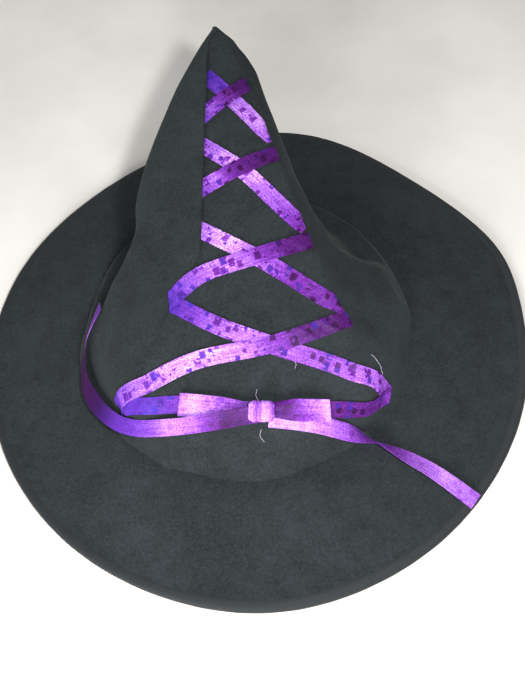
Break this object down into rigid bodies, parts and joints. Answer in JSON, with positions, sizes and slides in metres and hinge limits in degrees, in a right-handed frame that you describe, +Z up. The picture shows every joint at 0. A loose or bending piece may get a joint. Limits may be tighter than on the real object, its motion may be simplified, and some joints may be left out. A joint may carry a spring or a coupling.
{
  "type": "witch hat",
  "caption": "Soft black felt witch hat with a wide round brim and a tall cone flopped backwards, violet satin ribbon lacing up its front and a flat bow with two loose tails.",
  "frame": {"origin": "middle of the head opening, on the circle where crown and brim are sewn together", "axes": "+X to the wearer's left, -Y to the laced front, +Z up; the cone lies back towards +Y"},
  "size_m": [0.34, 0.34, 0.106],
  "materials": {
    "black_felt": "brushed polyester felt, matt with a short nap",
    "interlining": "stiff pressed non-woven",
    "black_binding": "folded woven tape with one line of stitching",
    "black_grosgrain": "ribbed band",
    "violet_satin": "single-face satin ribbon, glossy across the ribbon",
    "violet_satin_tail": "the same satin ribbon, where it hangs free",
    "rim_wire": "spring wire inside the binding"
  },
  "bodies": {
    "root": {"brim_top_felt": "black_felt", "brim_interlining": "interlining", "brim_under_felt": "black_felt", "rim_wire": "rim_wire", "rim_binding": "black_binding", "sweatband": "black_grosgrain", "crown_base": "black_felt", "crown_base_interlining": "interlining", "crown_crease": "black_felt", "lace_end_left": "violet_satin", "lace_end_right": "violet_satin", "lace_band": "violet_satin", "bow_knot": "violet_satin", "bow_loop_left": "violet_satin", "bow_loop_right": "violet_satin", "bow_tail_left": "violet_satin_tail", "bow_tail_right": "violet_satin_tail"},
    "crown": {"crown_cone": "black_felt", "crown_cone_interlining": "interlining", "lace_over_top": "violet_satin", "lace_over_upper": "violet_satin", "lace_over_middle": "violet_satin", "lace_over_low": "violet_satin", "lace_under_top": "violet_satin", "lace_under_upper": "violet_satin", "lace_under_middle": "violet_satin", "lace_under_low": "violet_satin"}
  },
  "joints": [
    {"name": "crown_lean", "type": "hinge", "parent": "root", "child": "crown", "pos_m": [0, -0.0655, 0.0366], "axis": [1, 0, 0], "range_deg": [0, 55], "deforming": ["crown_crease"]}
  ]
}
